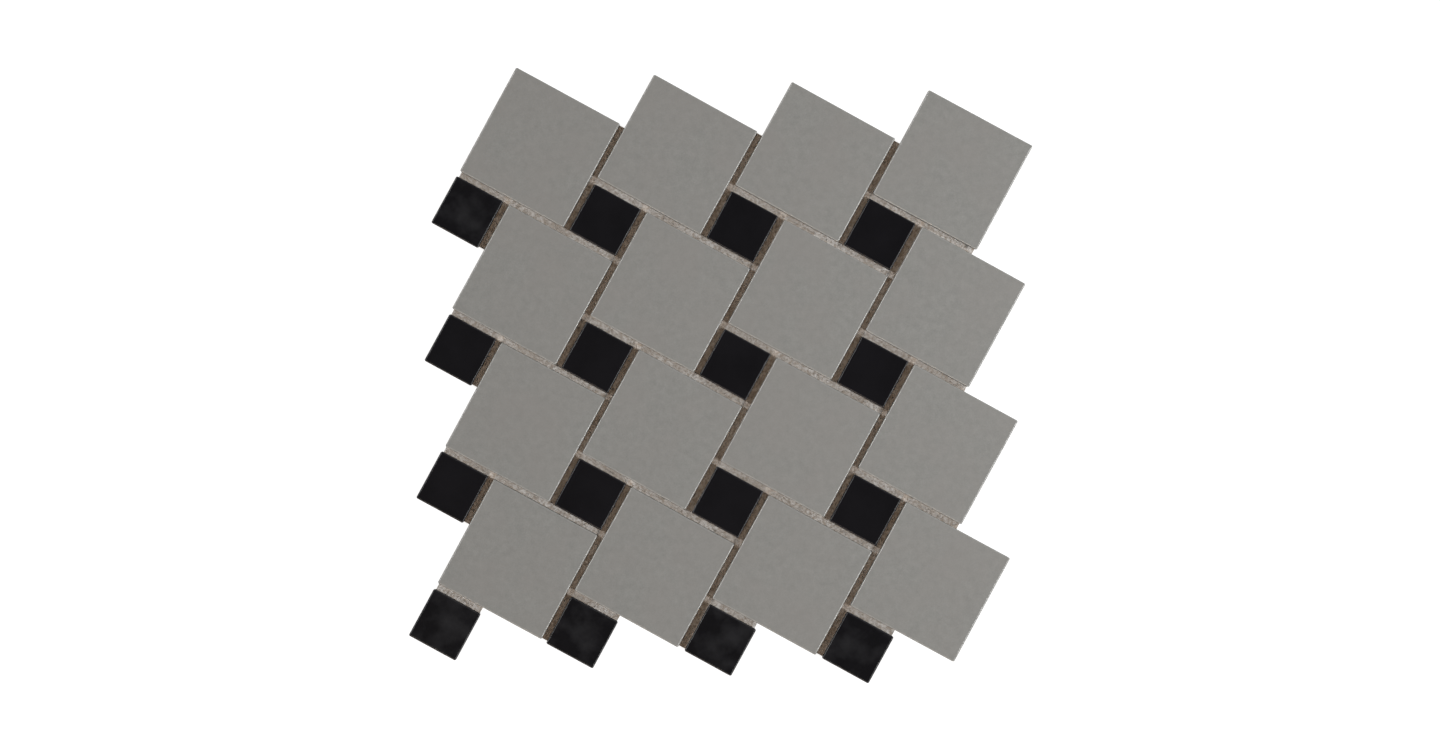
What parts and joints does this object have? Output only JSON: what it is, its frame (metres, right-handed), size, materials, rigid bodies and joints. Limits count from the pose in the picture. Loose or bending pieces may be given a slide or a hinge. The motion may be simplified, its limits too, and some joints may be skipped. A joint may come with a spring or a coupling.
{
  "type": "unglazed porcelain mosaic tile sheet",
  "caption": "Sheet of unglazed porcelain tiles, gray squares and small black squares in a pinwheel pattern with open joints, held on a paper backing for laying on a floor or wall.",
  "frame": {"origin": "middle of the sheet's outline, on the underside of the backing paper", "axes": "+X along the rows of tiles, +Y up the columns of tiles, +Z out of the tile faces"},
  "size_m": [0.248, 0.248, 0.0068],
  "materials": {
    "gray_porcelain": "matte, unglazed",
    "black_porcelain": "matte, unglazed",
    "backing_paper": "fibrous, matte"
  },
  "bodies": {
    "root": {"gray_tile_r1c1": "gray_porcelain", "black_dot_r1c1": "black_porcelain", "gray_tile_r1c2": "gray_porcelain", "black_dot_r1c2": "black_porcelain", "gray_tile_r1c3": "gray_porcelain", "black_dot_r1c3": "black_porcelain", "gray_tile_r1c4": "gray_porcelain", "black_dot_r1c4": "black_porcelain", "gray_tile_r2c1": "gray_porcelain", "black_dot_r2c1": "black_porcelain", "gray_tile_r2c2": "gray_porcelain", "black_dot_r2c2": "black_porcelain", "gray_tile_r2c3": "gray_porcelain", "black_dot_r2c3": "black_porcelain", "gray_tile_r2c4": "gray_porcelain", "black_dot_r2c4": "black_porcelain", "gray_tile_r3c1": "gray_porcelain", "black_dot_r3c1": "black_porcelain", "gray_tile_r3c2": "gray_porcelain", "black_dot_r3c2": "black_porcelain", "gray_tile_r3c3": "gray_porcelain", "black_dot_r3c3": "black_porcelain", "gray_tile_r3c4": "gray_porcelain", "black_dot_r3c4": "black_porcelain", "gray_tile_r4c1": "gray_porcelain", "black_dot_r4c1": "black_porcelain", "gray_tile_r4c2": "gray_porcelain", "black_dot_r4c2": "black_porcelain", "gray_tile_r4c3": "gray_porcelain", "black_dot_r4c3": "black_porcelain", "gray_tile_r4c4": "gray_porcelain", "black_dot_r4c4": "black_porcelain", "paper_backing": "backing_paper"}
  },
  "joints": []
}
